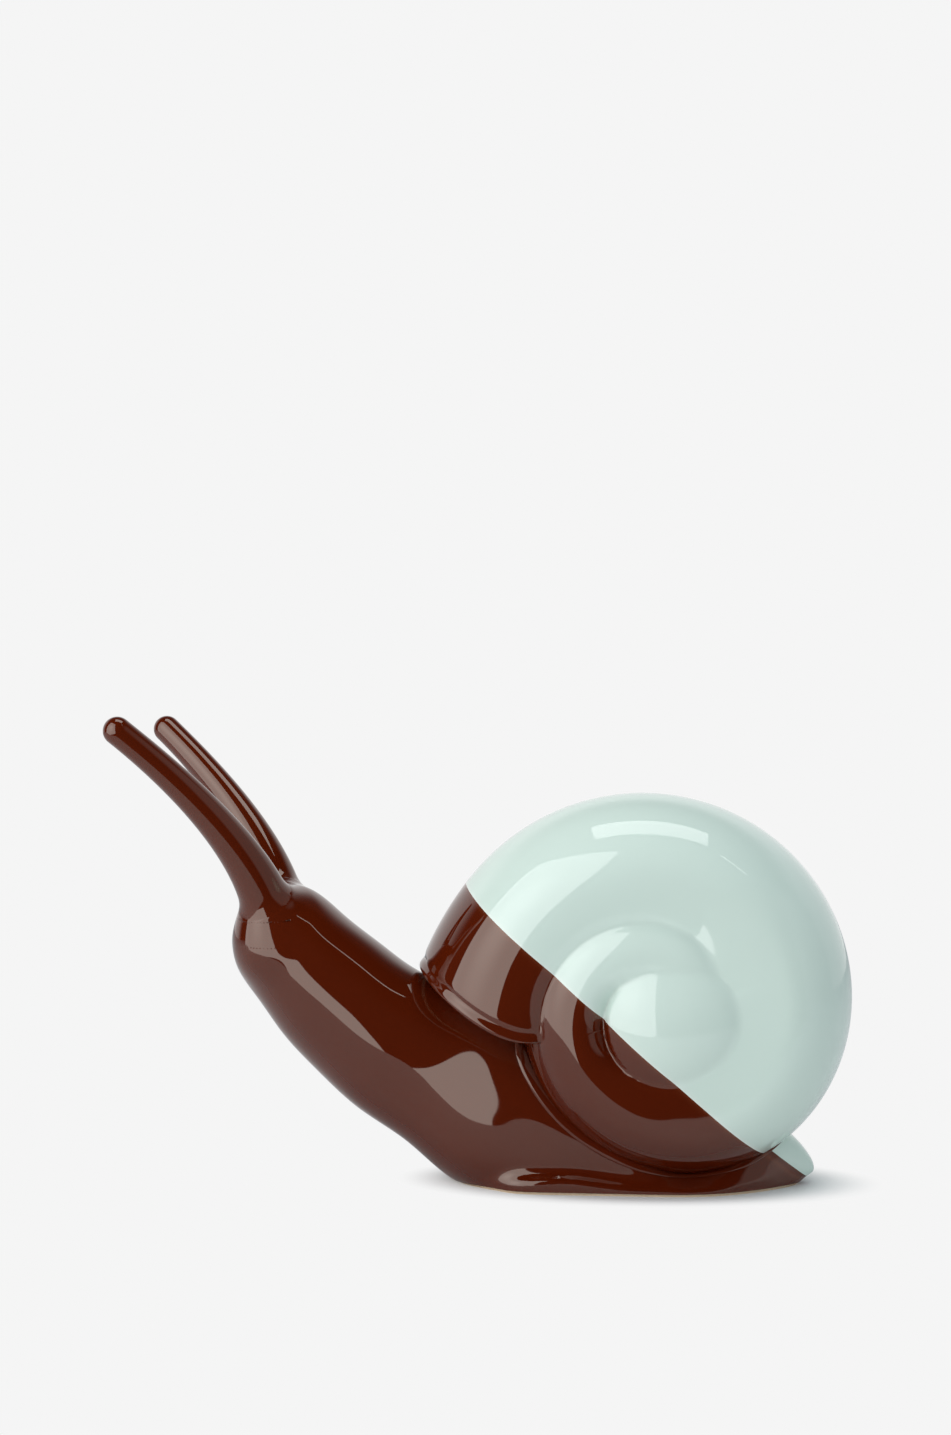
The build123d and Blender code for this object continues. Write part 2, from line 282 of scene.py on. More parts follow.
tone = glazeTone()
# the pale colours along the dip's edge are partly thinner glaze and partly a painted highlight of its raised edge
brownGlaze = glazed("brownGlaze", tone, {
    "Glaze": (0.080, 0.0088, 0.0014, 1), "Deep": (0.060, 0.0062, 0.0009, 1), "ThinAndHighlight": (0.16, 0.04, 0.016, 1),
    "Cloud Size": 14, "Ripple": 1.0, "roughness": 0.035, "ior": 1.62, "shine": (1, 0.92, 0.82, 1), "bump": 0.05})
mintGlaze = glazed("mintGlaze", tone, {
    "Glaze": (0.63, 0.755, 0.69, 1), "Deep": (0.59, 0.72, 0.66, 1), "ThinAndHighlight": (0.80, 0.84, 0.80, 1),
    "Cloud Size": 9, "Ripple": 1.0, "roughness": 0.04, "ior": 1.52, "shine": (1, 1, 1, 1), "bump": 0.04})
bisque = bareClay("bisque", {"grain": 900, "dark": (0.50, 0.36, 0.23, 1), "light": (0.68, 0.54, 0.38, 1)})
joiningSlip = bareClay("joiningSlip", {"grain": 700, "dark": (0.46, 0.33, 0.21, 1), "light": (0.60, 0.46, 0.32, 1)})
print("materials ready")


# Shell: whorls coiled about a cross axis, the pole, alike on both sides

shell = {
    "radius": 85.2, "halfThickness": 43.0, "apexHeight": 47.5, "grooveHeight": 36.1,
    "outerGrowth": 1.53, "innerGrowth": 2.2, "growthChange": -40.0, "growthBlend": 12.0,
    "crestShare": 0.3, "crestRight": 0.42, "rightUpper": (120, 40), "rightLower": (-130, -60),
    "outerRound": 1.6, "innerRound": 1.0, "steepTurn": (-230, -110), "wallDrop": 60,
    "poleX": 7.2, "floor": 3.9, "mouth": 192.0, "mouthFade": (168, 191),
    "valley": 1.2, "leastDrop": (0.3, 1.5), "leastTurn": (-60, -168), "mostDrop": (6.0, 0.9),
    "sink": 7.0, "sinkTurn": (-410.0, -285.0),
    "domeX": 5.2, "domeZ": -2.6, "domeTop": 50.6, "domeDepth": 7.2, "domeRadius": 23.6, "domeSwell": 4.4,
    "domeTurn": 15.0, "domeCap": 0.75,
    "flare": 2.7, "flareStart": 145.0, "flareTurn": 25.0,
    "lipFront": (-94.6, 17.0), "lipBend": (-60.0, -12.0), "lipRound": 1.35,
    "lipAhead": (-130.0, 46.736), "lipBehind": (30.0, 6.0),
    "lipBead": 0.45, "lipGroove": 0.4, "lipWidth": 1.5,
    "turnSteps": 270, "lipSteps": 44, "lipShare": 0.036, "bandColumns": 97,
    "discRings": 60, "rollSteps": 6, "wallSteps": 5,
}


def whorlRadius(angle):
    # log spiral: the growth per turn eases from the inner rate to the outer one about the change angle
    inner, outer = math.log(shell["innerGrowth"]), math.log(shell["outerGrowth"])
    x, blend = angle - shell["growthChange"], shell["growthBlend"]
    eased = blend * np.logaddexp(0, x / blend)
    start = shell["radius"] * shell["outerGrowth"] ** ((shell["growthChange"] - 90) / 360)
    return start * np.exp((inner * x + (outer - inner) * eased) / 360)


def grooveRadius(angle):
    # log spiral of the groove between two whorls
    return shell["grooveHeight"] * shell["innerGrowth"] ** ((angle - 90) / 360)


def rightSide(angle):
    # 1 on the right of the last whorl, 0 on its left and further in
    return smooth(*shell["rightUpper"], angle) * smooth(*shell["rightLower"], angle)


def crestRadius(angle):
    # a share of the way from the groove to the outside, larger on the last whorl's right
    groove = grooveRadius(angle)
    share = shell["crestShare"] + (shell["crestRight"] - shell["crestShare"]) * rightSide(angle)
    return groove + share * (whorlRadius(angle) - groove)


def crestHeight(angle):
    # half thickness at the crest, climbing to the apex as the coil tightens
    climb = shell["apexHeight"] - shell["halfThickness"]
    return shell["apexHeight"] - climb * shell["innerGrowth"] ** ((angle - shell["mouth"]) / 360)


def flankHeight(radius, angle):
    # outer flank of a whorl: a quarter ellipse from its crest down to its outside, steeper on the last whorl
    crest, top = crestRadius(angle), crestHeight(angle)
    breadth = whorlRadius(angle) - crest
    steep = shell["innerRound"] + (shell["outerRound"] - shell["innerRound"]) * smooth(*shell["steepTurn"], angle)
    tall = np.minimum(top, steep * breadth)
    x = (radius - crest) / breadth
    inside = np.clip(x, 0, 1)
    wall = shell["wallDrop"] * np.maximum(x - 1, 0)
    return tall * np.sqrt(1 - inside**2) + (top - tall) * (1 - inside**8) - wall


def domeHeight(radius, angle):
    # the middle of the coil: a cap of a ball set off from the pole, wider on its right
    turn = np.radians(angle)
    x, z = radius * np.cos(turn) - shell["domeX"], radius * np.sin(turn) - shell["domeZ"]
    right = np.maximum(np.cos(np.arctan2(z, x) - math.radians(shell["domeTurn"])), 0)
    wide = shell["domeRadius"] + shell["domeSwell"] * right**3
    share = np.hypot(x, z) / wide
    cap = shell["domeCap"]
    ball = shell["domeDepth"] * (1 - np.sqrt(1 - (cap * np.clip(share, 0, 1)) ** 2)) / (1 - math.sqrt(1 - cap**2))
    return shell["domeTop"] - ball - shell["wallDrop"] * np.maximum(share - 1, 0)


def whorlHeight(radius, angle, drop):
    # half thickness of one whorl: flank outside its crest, a parabola falling to its groove inside it
    crest, groove, top = crestRadius(angle), grooveRadius(angle), crestHeight(angle)
    bowl = np.maximum((crest - radius) / (crest - groove), 0) ** 2
    return np.where(radius > crest, flankHeight(radius, angle), top - drop * bowl)


def higher(first, second, valley):
    # the higher of two heights, with the groove between them rounded out
    return np.maximum(first, second) + np.maximum(valley - np.abs(first - second), 0) ** 2 / (4 * valley)


def innerHeight(radius, angle):
    # the dome and, rising out of it, the whorl inside the last one
    dome = domeHeight(radius, angle)
    drop = np.maximum(crestHeight(angle) - domeHeight(grooveRadius(angle), angle), shell["leastDrop"][1])
    whorl = whorlHeight(radius, angle, drop)
    whorl = whorl - shell["sink"] * (1 - smooth(*shell["sinkTurn"], angle))
    return higher(dome, whorl, shell["valley"])


def coilHeight(radius, angle):
    # half thickness of the whole coil: the last whorl or what lies inside it
    valley = np.maximum(shell["valley"] * (1 - smooth(*shell["mouthFade"], angle)), 0.02)
    (leastRight, leastLeft), (mostLeft, mostRight) = shell["leastDrop"], shell["mostDrop"]
    least = leastRight + (leastLeft - leastRight) * smooth(*shell["leastTurn"], angle)
    most = mostLeft + (mostRight - mostLeft) * rightSide(angle)
    drop = np.clip(crestHeight(angle) - innerHeight(grooveRadius(angle), angle - 360), least, most)
    last = whorlHeight(radius, angle, drop)
    return higher(last, innerHeight(radius, angle - 360), valley)


pole = np.array([shell["poleX"], 0, whorlRadius(np.array(-90.0)) + shell["floor"]])
ring = float(grooveRadius(shell["mouth"]))  # circle where the coil's flat middle meets the last whorl
nook = ring * np.array([math.cos(math.radians(shell["mouth"])), math.sin(math.radians(shell["mouth"]))])


def mouthLine(x):
    # the lip seen from the side: a curve from its front tip to the nook at the groove
    u = np.linspace(0, 1, 60)[:, None]
    tip, bend = np.array(shell["lipFront"]), np.array(shell["lipBend"])
    curve = (1 - u) ** 2 * tip + 2 * u * (1 - u) * bend + u**2 * nook
    ahead, behind = np.array(shell["lipAhead"])[None], nook[None] + np.array(shell["lipBehind"])
    curve = np.concatenate([ahead, curve, behind])
    return np.interp(x, curve[:, 0], curve[:, 1])


def bandPoint(angle, across):
    # last whorl: from the ring on one side over the outside to the ring on the other, flared at the mouth
    outside = whorlRadius(angle)
    radius = ring + (outside - ring) * np.cos(across * np.pi / 2)
    height = coilHeight(radius, angle)
    flare = shell["flare"] * np.maximum((angle - shell["flareStart"]) / shell["flareTurn"], 0) ** 2
    share = np.clip((radius - ring) / (outside - ring), 0, 1)
    radius = radius + flare * share**2
    turn = np.radians(angle)
    return np.stack([radius * np.cos(turn), np.sign(across) * height, radius * np.sin(turn)], -1)


def shellSurface():
    # closed form: band of the last whorl, lip roll, mouth wall and the two flat middles
    across = np.linspace(-1, 1, shell["bandColumns"])
    low, high = np.full_like(across, 150.0), np.full_like(across, 205.0)
    for _ in range(40):  # bisection for the angle at which each column meets the mouth's line
        middle = (low + high) / 2
        spot = bandPoint(middle, across)
        before = spot[:, 2] > mouthLine(spot[:, 0])
        low, high = np.where(before, middle, low), np.where(before, high, middle)
    last = low
    last[[0, -1]] = shell["mouth"]
    first = shell["mouth"] - 360
    lip = 1 - shell["lipShare"]
    u = np.concatenate([np.linspace(0, lip, shell["turnSteps"], endpoint=False),
                        np.linspace(lip, 1, shell["lipSteps"])])[:, None]
    band = bandPoint(first + (last - first) * u, across + 0 * u)
    band[-1][[0, -1]] = band[0][[0, -1]]
    edge = band[-1]
    along = edge - bandPoint(last - 0.5, across)
    along /= np.linalg.norm(along, axis=1)[:, None]
    side = np.gradient(edge, axis=0)
    out = np.cross(along, side)
    out /= np.linalg.norm(out, axis=1)[:, None]
    out *= np.sign(np.einsum("ij,ij->i", out, edge))[:, None]
    ends = 1 - smooth(0.8, 1, np.abs(across))
    size = shell["lipRound"] * ends
    away = np.linalg.norm(band - edge, axis=2) / shell["lipWidth"]
    bead = shell["lipBead"] * np.exp(-away**2) - shell["lipGroove"] * np.exp(-((away - 2.2) ** 2))
    bead = np.where(u > 0.9, bead * ends, 0)
    band = band + bead[..., None] * out
    edge = band[-1]
    turn = (np.pi * np.arange(1, shell["rollSteps"] + 1) / shell["rollSteps"])[:, None, None]
    roll = edge + size[:, None] * ((np.cos(turn) - 1) * out + np.sin(turn) * along)
    share = (np.arange(1, shell["wallSteps"]) / shell["wallSteps"])[:, None, None]
    wall = roll[-1] + (band[0] - roll[-1]) * share
    rows = np.concatenate([band, roll, wall])
    surfaces = [(rows.reshape(-1, 3), gridTriangles(len(rows), len(across), loopRows=True))]
    angle = first + 360 * u[:-1]
    radius = ring * (1 - np.arange(shell["discRings"] + 1) / shell["discRings"])[None, :]
    height = coilHeight(radius + 0 * angle, angle + 0 * radius)
    flat = np.stack([radius * np.cos(np.radians(angle)), height, radius * np.sin(np.radians(angle))], -1)
    triangles = gridTriangles(*height.shape, loopRows=True)
    surfaces.append((flat.reshape(-1, 3), triangles))
    surfaces.append(((flat * [1, -1, 1]).reshape(-1, 3), triangles[:, ::-1]))
    points, triangles = joined(surfaces)
    return outward(*weld(points + pole, triangles))


def outsideShell(points):
    # how far points lie out of the shell, measured across it; below the mouth's line all is outside
    x, y, z = (points - pole).T
    angle = np.degrees(np.arctan2(z, x))
    angle = np.where(angle < shell["mouth"] - 360, angle + 360, angle)
    gap = np.abs(y) - coilHeight(np.hypot(x, z), angle)
    below = np.where((x < nook[0]) & (np.abs(angle) > 90), mouthLine(x) - z, -99)
    return np.maximum(gap, below)


# Body: head, neck, foot and tail

body = {
    # belly x and z, back x and z, half width, fullness below, spread below, fullness above
    "stations": [
        (-163.4, 99.3, -163.4, 99.3, 0, 1.00, 0.000, 1.00),
        (-164.2, 94.5, -162.2, 103.5, 5.4, 1.00, 0.000, 1.00),
        (-163.2, 88.5, -157.4, 110.4, 13.2, 1.00, 0.000, 1.00),
        (-160.6, 81.0, -146.9, 116.8, 20.4, 1.00, -0.010, 1.00),
        (-153.5, 71.0, -134.0, 115.9, 24.4, 1.00, -0.040, 1.00),
        (-143.0, 56.5, -119.1, 104.8, 25.8, 1.00, -0.070, 1.00),
        (-129.6, 42.5, -104.5, 93.6, 26.3, 1.00, -0.060, 1.00),
        (-112.5, 27.4, -88.6, 82.6, 26.8, 0.97, -0.030, 1.00),
        (-93.0, 14.6, -70.0, 76.0, 26.6, 0.90, 0.010, 0.98),
        (-72.0, -1.0, -52.5, 67.0, 29.8, 0.78, 0.050, 0.70),
        (-49.7, -6.0, -39.3, 54.0, 30.9, 0.60, 0.000, 0.60),
        (-27.6, -6.0, -24.2, 37.0, 31.4, 0.58, -0.030, 0.60),
        (-4.1, -6.0, -3.5, 22.0, 31.9, 0.60, 0.000, 0.60),
        (17.9, -6.0, 17.9, 10.1, 33.2, 0.62, 0.160, 0.62),
        (35.9, -6.0, 36.6, 15.8, 28.0, 0.62, 0.160, 0.62),
        (50.0, -6.0, 51.1, 23.9, 18.0, 0.62, 0.140, 0.62),
        (60.0, -2.6, 60.4, 19.0, 9.8, 0.80, 0.000, 0.80),
        (66.0, 2.8, 66.0, 12.9, 5.4, 0.80, 0.000, 0.80),
        (68.8, 5.0, 68.8, 8.0, 2.2, 0.80, 0.000, 0.80),
        (69.1, 6.2, 69.1, 6.2, 0, 0.80, 0.000, 0.80),
    ],
    "rows": 270, "columns": 90,
    # skirt round the foot: x along the figure, height of its edge, half width there, reach upwards, share
    "skirt": [
        (-66, 2.4, 22.0, 4.0, 0), (-58, 2.6, 28.0, 4.0, 0.5), (-50, 3.2, 33.0, 3.8, 1), (-44, 3.8, 34.0, 3.4, 1),
        (-36, 4.6, 34.4, 2.8, 1), (-27, 5.2, 34.5, 2.6, 1), (-18, 4.0, 34.6, 3.0, 1), (-8, 2.6, 34.7, 3.0, 1),
        (6, 1.8, 34.8, 2.4, 1), (18, 1.6, 34.5, 2.0, 1), (30, 1.6, 31.8, 1.8, 1), (40, 1.8, 26.6, 1.8, 1),
        (48, 2.0, 20.6, 1.8, 1), (56, 2.4, 13.4, 1.8, 0.6), (62, 3.2, 8.0, 1.8, 0),
    ],
    "skirtEase": 3.5, "skirtSpan": (-120, 110), "skirtStep": 0.5, "skirtSharp": 3, "skirtFade": 10,
}


def splineRows(rows, count):
    # natural cubic curve through rows of numbers, spaced by the distance from row to row, mirrored at both ends
    rows = np.array(rows, float)
    shape = rows[:, :5]
    knots = np.concatenate([[0], np.cumsum(np.linalg.norm(np.diff(shape, axis=0), axis=1))])
    swap = [2, 3, 0, 1, 4, 5, 6, 7]
    turn = np.array([1, 1, 1, 1, -1, 1, 1, 1])
    ahead, behind = rows[2:0:-1][:, swap] * turn, rows[-2:-4:-1][:, swap] * turn
    rows = np.concatenate([ahead, rows, behind])
    places = np.concatenate([-knots[2:0:-1], knots, 2 * knots[-1] - knots[-2:-4:-1]])
    step = np.diff(places)
    size = len(rows)
    matrix, right = np.eye(size), np.zeros_like(rows)
    inner = np.arange(1, size - 1)
    matrix[inner, inner - 1], matrix[inner, inner + 1] = step[:-1], step[1:]
    matrix[inner, inner] = 2 * (step[:-1] + step[1:])
    slope = np.diff(rows, axis=0) / step[:, None]
    right[1:-1] = 6 * np.diff(slope, axis=0)
    bend = np.linalg.solve(matrix, right)
    spots = np.linspace(0, knots[-1], count)
    k = np.clip(np.searchsorted(places, spots, side="right") - 1, 0, size - 2)
    t, h = (spots - places[k])[:, None], step[k][:, None]
    start, curve, rate = rows[k], bend[k], (bend[k + 1] - bend[k]) / (6 * h)
    return start + t * (slope[k] - h * (2 * curve + bend[k + 1]) / 6) + t**2 * curve / 2 + t**3 * rate


stations = splineRows(body["stations"], body["rows"])
stations[:, 4] = np.maximum(stations[:, 4], 0)


def easedTable(rows, reach):
    # a table's values at even steps, each the mean of its neighbours under a bell curve
    rows, step = np.array(rows), body["skirtStep"]
    x = np.arange(*body["skirtSpan"], step)
    bell = np.exp(-0.5 * (np.arange(-30, 31) * step / reach) ** 2)
    bell /= bell.sum()
    return x, [np.convolve(np.interp(x, rows[:, 0], column), bell, "same") for column in rows[:, 1:].T]


skirtPlaces, skirtColumns = easedTable(body["skirt"], body["skirtEase"])


def skirted(x, half, z):
    # half width drawn out to the foot's edge: a bell curve over the height above the edge blends the two
    edge, wide, reach, share = (np.interp(x, skirtPlaces, column) for column in skirtColumns)
    rise = np.logaddexp(0, body["skirtSharp"] * (z - edge)) / body["skirtSharp"]
    bell = np.exp(-((rise / reach) ** 2)) * np.minimum(half / body["skirtFade"], 1)
    return half + (wide - half) * share * bell


def bodyGrid():
    # rounded section from belly to back at each station: a superellipse taken by its polar angle
    row = stations[:, None, :]
    belly, back, width, full, spread = row[..., 0:2], row[..., 2:4], row[..., 4], row[..., 5], row[..., 6]
    share = np.linspace(-1, 1, 2 * body["columns"] - 1)[None, :]
    turn = np.pi * (1 - np.abs(share))
    full = np.where(turn > np.pi / 2, row[..., 7], full)
    reach = (np.abs(np.cos(turn)) ** (2 / full) + np.abs(np.sin(turn)) ** (2 / full)) ** (-full / 2)
    side, up = np.sign(share) * reach * np.sin(turn), -reach * np.cos(turn)
    middle = belly + (back - belly) * ((1 + up) / 2)[..., None]
    half = skirted(middle[..., 0], width * np.abs(side) * (1 - spread * up), middle[..., 1])
    return np.stack([middle[..., 0], np.sign(share) * half, middle[..., 1]], -1)


def bodySurface():
    grid = bodyGrid()
    return outward(*weld(grid.reshape(-1, 3), gridTriangles(*grid.shape[:2])))


def insideBody(points):
    # half width of the body at a point, less the point's own distance from the middle plane
    x, y, z = points.T
    low, high = np.zeros(len(x)), np.full(len(x), len(stations) - 1.0)

    def at(place):
        k = np.clip(place.astype(int), 0, len(stations) - 2)
        return stations[k] + (place - k)[:, None] * (stations[k + 1] - stations[k])

    for _ in range(14):  # bisection for the section that the point lies in
        middle = (low + high) / 2
        s = at(middle)
        ahead = (s[:, 2] - s[:, 0]) * (z - s[:, 1]) - (s[:, 3] - s[:, 1]) * (x - s[:, 0]) < 0
        low, high = np.where(ahead, middle, low), np.where(ahead, high, middle)
    s = at(low)
    rise = s[:, 2:4] - s[:, 0:2]
    length = np.maximum((rise**2).sum(axis=1), 1e-6)
    share = ((x - s[:, 0]) * rise[:, 0] + (z - s[:, 1]) * rise[:, 1]) / length
    up = np.clip(2 * share - 1, -1, 1)
    full = np.where(up > 0, s[:, 7], s[:, 5])
    side = np.maximum(1 - np.abs(up) ** (2 / full), 0) ** (full / 2)
    half = skirted(x, s[:, 4] * side * (1 - s[:, 6] * up), z)
    past = np.maximum(np.maximum(-share, share - 1), 0) * np.sqrt(length)
    return half - np.abs(y) - 5 * past


# Tentacles

tentacle = {
    "root": (-147.4, 12.5, 104.7), "forward": 54.0, "spread": 33.0, "rise": 75.0, "lean": 1.6, "splay": 1.15,
    "rootRadius": 11.0, "tipRadius": 5.6, "thinning": 1.7, "sunk": 0.16,
    "rows": 110, "columns": 56, "tipRows": 12, "fillet": 8.0,
    "headEnd": -95, "rootTop": 135, "ringSteps": 48, "ringReach": 0.35, "ringDepth": 1.8,
}


def tentaclePath(share, side):
    # centre line: rises evenly, leans out and ever more forward
    up = np.maximum(share, 0)
    x = tentacle["root"][0] - tentacle["forward"] * up ** tentacle["lean"]
    y = tentacle["root"][1] + tentacle["spread"] * up ** tentacle["splay"]
    z = tentacle["root"][2] + tentacle["rise"] * share
    return np.stack([x, side * y, z], -1)


def tentacleRadius(share):
    # thins quickly above the root and slowly towards the tip
    swell = tentacle["rootRadius"] - tentacle["tipRadius"]
    return tentacle["tipRadius"] + swell * np.clip(1 - share, 0, 1) ** tentacle["thinning"]


def tentacleSurface(side, inset):
    # circles carried along the centre line, closed by a half ball at the tip
    share = np.linspace(-tentacle["sunk"], 1, tentacle["rows"])
    path = tentaclePath(share, side)
    along = np.gradient(path, axis=0)
    along /= np.linalg.norm(along, axis=1)[:, None]
    radius = tentacleRadius(share) - inset
    turn = np.linspace(0, np.pi / 2, tentacle["tipRows"] + 1)[1:, None]
    path = np.concatenate([path[:1], path, path[-1] + radius[-1] * np.sin(turn) * along[-1]])
    radius = np.concatenate([[0], radius, radius[-1] * np.cos(turn[:, 0])])
    along = np.concatenate([along[:1], along, np.repeat(along[-1:], len(turn), axis=0)])
    across = np.cross(along, [0, 1.0, 0])
    across /= np.linalg.norm(across, axis=1)[:, None]
    other = np.cross(along, across)
    angle = np.linspace(0, 2 * np.pi, tentacle["columns"], endpoint=False)[None, :, None]
    rim = np.cos(angle) * across[:, None] + np.sin(angle) * other[:, None]
    grid = path[:, None] + radius[:, None, None] * rim
    points, triangles = grid.reshape(-1, 3), gridTriangles(*grid.shape[:2], loopColumns=True)
    return weld(points, triangles)


def tentacleDistance(points, side):
    # distance from the tube round the centre line
    share = np.linspace(-tentacle["sunk"], 1, 160)
    path, radius = tentaclePath(share, side), tentacleRadius(share)
    return (np.linalg.norm(points[:, None] - path[None], axis=2) - radius[None]).min(axis=1)


def filletPush(distance):
    # root of the push plus root of the distance is the root of the fillet's reach
    reach = tentacle["fillet"]
    return (math.sqrt(reach) - np.sqrt(np.clip(distance, reach / 9, reach))) ** 2


def filletedHead(points, triangles):
    # the head swells out round each tentacle until it meets the root in a soft hollow
    normals = pointNormals(points, triangles)
    near = points[:, 0] < tentacle["headEnd"]
    spot, normal = points[near], normals[near]
    push = np.zeros(len(spot))
    for _ in range(8):
        moved = spot + push[:, None] * normal
        gap = np.minimum(tentacleDistance(moved, -1), tentacleDistance(moved, 1))
        push = 0.5 * push + 0.5 * filletPush(gap)
    points = points.copy()
    points[near] = spot + push[:, None] * normal
    return points


def filletedRoot(points, triangles, head, headNormals):
    # the tentacle swells in the same way where it comes near the head
    normals = pointNormals(points, triangles)
    near = points[:, 2] < tentacle["rootTop"]
    spot, normal = points[near], normals[near]
    push = np.zeros(len(spot))
    for _ in range(8):
        gap = headDistance(spot + push[:, None] * normal, head, headNormals)
        push = 0.5 * push + 0.5 * filletPush(gap)
    points = points.copy()
    points[near] = spot + push[:, None] * normal
    return points


def headDistance(points, head, headNormals):
    # distance from the plane that touches the head at its nearest point
    blocks = np.array_split(points, max(1, len(points) // 400))
    nearest = np.concatenate([((b**2).sum(1)[:, None] - 2 * b @ head.T + (head**2).sum(1)[None]).argmin(1)
                              for b in blocks])
    return ((points - head[nearest]) * headNormals[nearest]).sum(axis=1)


# Put the pieces together


def dipField(points):
    # distance above the dip's slanting plane, with the slight waver of a hand-held dip
    x, y, z = points.T
    flat = x * math.sin(dip["slope"]) + (z - dip["height"]) * math.cos(dip["slope"])
    along = x * math.cos(dip["slope"]) - z * math.sin(dip["slope"])
    waver = np.sin(along / dip["waverLength"]) * np.cos(y / dip["waverLength"] + dip["waverStart"])
    return flat + dip["waver"] * waver


def thinGlazeAndHighlight(points):
    # paleness along the dip's edge, a fine line: partly thinner glaze and partly a painted highlight of the raised
    # glaze edge
    return dip["edgeThinAndHighlight"] * np.exp(-np.abs(dipField(points)) / dip["edgeWidth"])


def glazePiece(name, surface, material, nodes):
    points, triangles, rims = coat(*surface, glaze["depth"])
    # stores the painted dip-edge highlight, with the thinner glaze there, as a point attribute
    return makePiece(name, (points, triangles), material, nodes, rims, {"thinAndHighlight": thinGlazeAndHighlight(points)})


def drawnIn(points, triangles, depth):
    return points - depth * pointNormals(points, triangles), triangles


underGlaze = glaze["depth"] + glaze["clayGap"]
shellForm = shellSurface()
print("shell form:", len(openEdges(shellForm[1])), "open edges")
bodyForm = bodySurface()
filleted = filletedHead(*bodyForm)
print("body form:", len(bodyForm[0]), "points")

# shell coats
shellSkin = clip(*shellForm, glaze["overlap"] - insideBody(shellForm[0]))
field = dipField(shellSkin[0])
glazePiece("brownGlazeShell", clip(*shellSkin, -field), brownGlaze, ["brown_glaze_shell"])
glazePiece("mintGlazeShell", clip(*shellSkin, field), mintGlaze, ["mint_glaze_shell"])
shellCore = (pole + glaze["shellCore"] * (shellForm[0] - pole), shellForm[1])
makePiece("shellClay", shellCore, bisque, ["shell_casting"])

# body coats
skin = (filleted, bodyForm[1])
skin = clip(*skin, skin[0][:, 2] - glaze["dryFoot"])
skin = clip(*skin, outsideShell(skin[0]) + glaze["overlap"])
field = dipField(skin[0]) - dip["tailShift"] * smooth(*dip["tailTurn"], skin[0][:, 0])
brownBody = clip(*skin, -field)
mintTail = clip(*skin, np.where(skin[0][:, 0] > dip["tailStart"], field, -1))
glazePiece("brownGlazeBody", brownBody, brownGlaze, ["brown_glaze_body"])
glazePiece("mintGlazeTail", mintTail, mintGlaze, ["mint_glaze_tail"])


foot = {"drainX": -61.6, "drainRadius": 5.0, "drainDepth": 14.0, "drainColumns": 40}


def drainHole():
    # round hole up into the chest: a wall of circles closed at its top
    angle = np.linspace(0, 2 * np.pi, foot["drainColumns"], endpoint=False)[None, :]
    rise = np.array([0, 0.15, 0.5, 1, 1])[:, None] * foot["drainDepth"] + 0 * angle
    radius = foot["drainRadius"] * np.array([1, 1, 1, 1, 0])[:, None]
    grid = np.stack([foot["drainX"] + radius * np.cos(angle), radius * np.sin(angle), rise], -1)
    return weld(grid.reshape(-1, 3), gridTriangles(*rise.shape, loopColumns=True))


def closeSole(piece):
    # fills the flat sole between its outline and the hole
    form = bmesh.new()
    form.from_mesh(piece.data)
    outline = [edge for edge in form.edges if edge.is_boundary]
    bmesh.ops.triangle_fill(form, edges=outline, use_beauty=True, normal=(0, 0, -1))
    bmesh.ops.recalc_face_normals(form, faces=form.faces)
    for edge in outline:
        edge.smooth = False
    form.to_mesh(piece.data)
    form.free()


clayPoints, clayTriangles = drawnIn(*bodyForm, underGlaze)
clayWall = clip(clayPoints, clayTriangles, clayPoints[:, 2])
closeSole(makePiece("bodyClay", joined([clayWall, drainHole()]), bisque, ["body_casting"]))

# Mantle rim: the fold of the body that laps against the shell's side

rim = {
    "start": -171.0, "end": -46.0, "steps": 150,
    # out along the body from the shell, and up from the body
    "profile": [(-1.6, -1.6), (-1.0, 0.4), (0.2, 1.5), (2.4, 1.9), (4.8, 1.8), (6.8, 1.4), (8.0, 0.4), (8.8, -0.8),
                (4.0, -2.0)],
    # angle about the pole and size
    "size": [(-171, 0), (-169.5, 0.6), (-163, 0.66), (-152, 0.52), (-138, 0.42), (-105, 0.34), (-70, 0.3),
             (-56, 0.24), (-46, 0)],
    "slipRadius": 0.8, "slipDepth": 1.9, "shellLean": -0.6,
}


def slopeOf(field, points):
    # direction in which a field grows fastest, by small steps both ways along each axis
    steps = 0.2 * np.eye(3)
    slope = np.stack([field(points + step) - field(points - step) for step in steps], -1)
    return slope / np.linalg.norm(slope, axis=1)[:, None]


def mantleLine(angle):
    # points where the left side of the last whorl leaves the body, found by bisection across the whorl
    low, high = np.full_like(angle, -0.97), np.zeros_like(angle)
    for _ in range(30):
        middle = (low + high) / 2
        hidden = insideBody(bandPoint(angle, middle) + pole) > 0
        low, high = np.where(hidden, low, middle), np.where(hidden, middle, high)
    return bandPoint(angle, low) + pole


def carried(path, across, out, profile, size, loop=False):
    # closed profile carried along a path: first number along across, second along out
    spread = profile[None, :, 0:1] * across[:, None] + profile[None, :, 1:2] * out[:, None]
    grid = path[:, None] + size[:, None, None] * spread
    return weld(grid.reshape(-1, 3), gridTriangles(*grid.shape[:2], loopRows=loop, loopColumns=True))


def roundProfile(corners, count):
    # closed smooth curve near a ring of corners, by corner cutting
    points = np.array(corners, float)
    while len(points) < count:
        after = np.roll(points, -1, axis=0)
        points = np.stack([0.75 * points + 0.25 * after, 0.25 * points + 0.75 * after], 1).reshape(-1, 2)
    return points


def mirrored(points, triangles):
    return points * [1, -1, 1], triangles[:, ::-1]


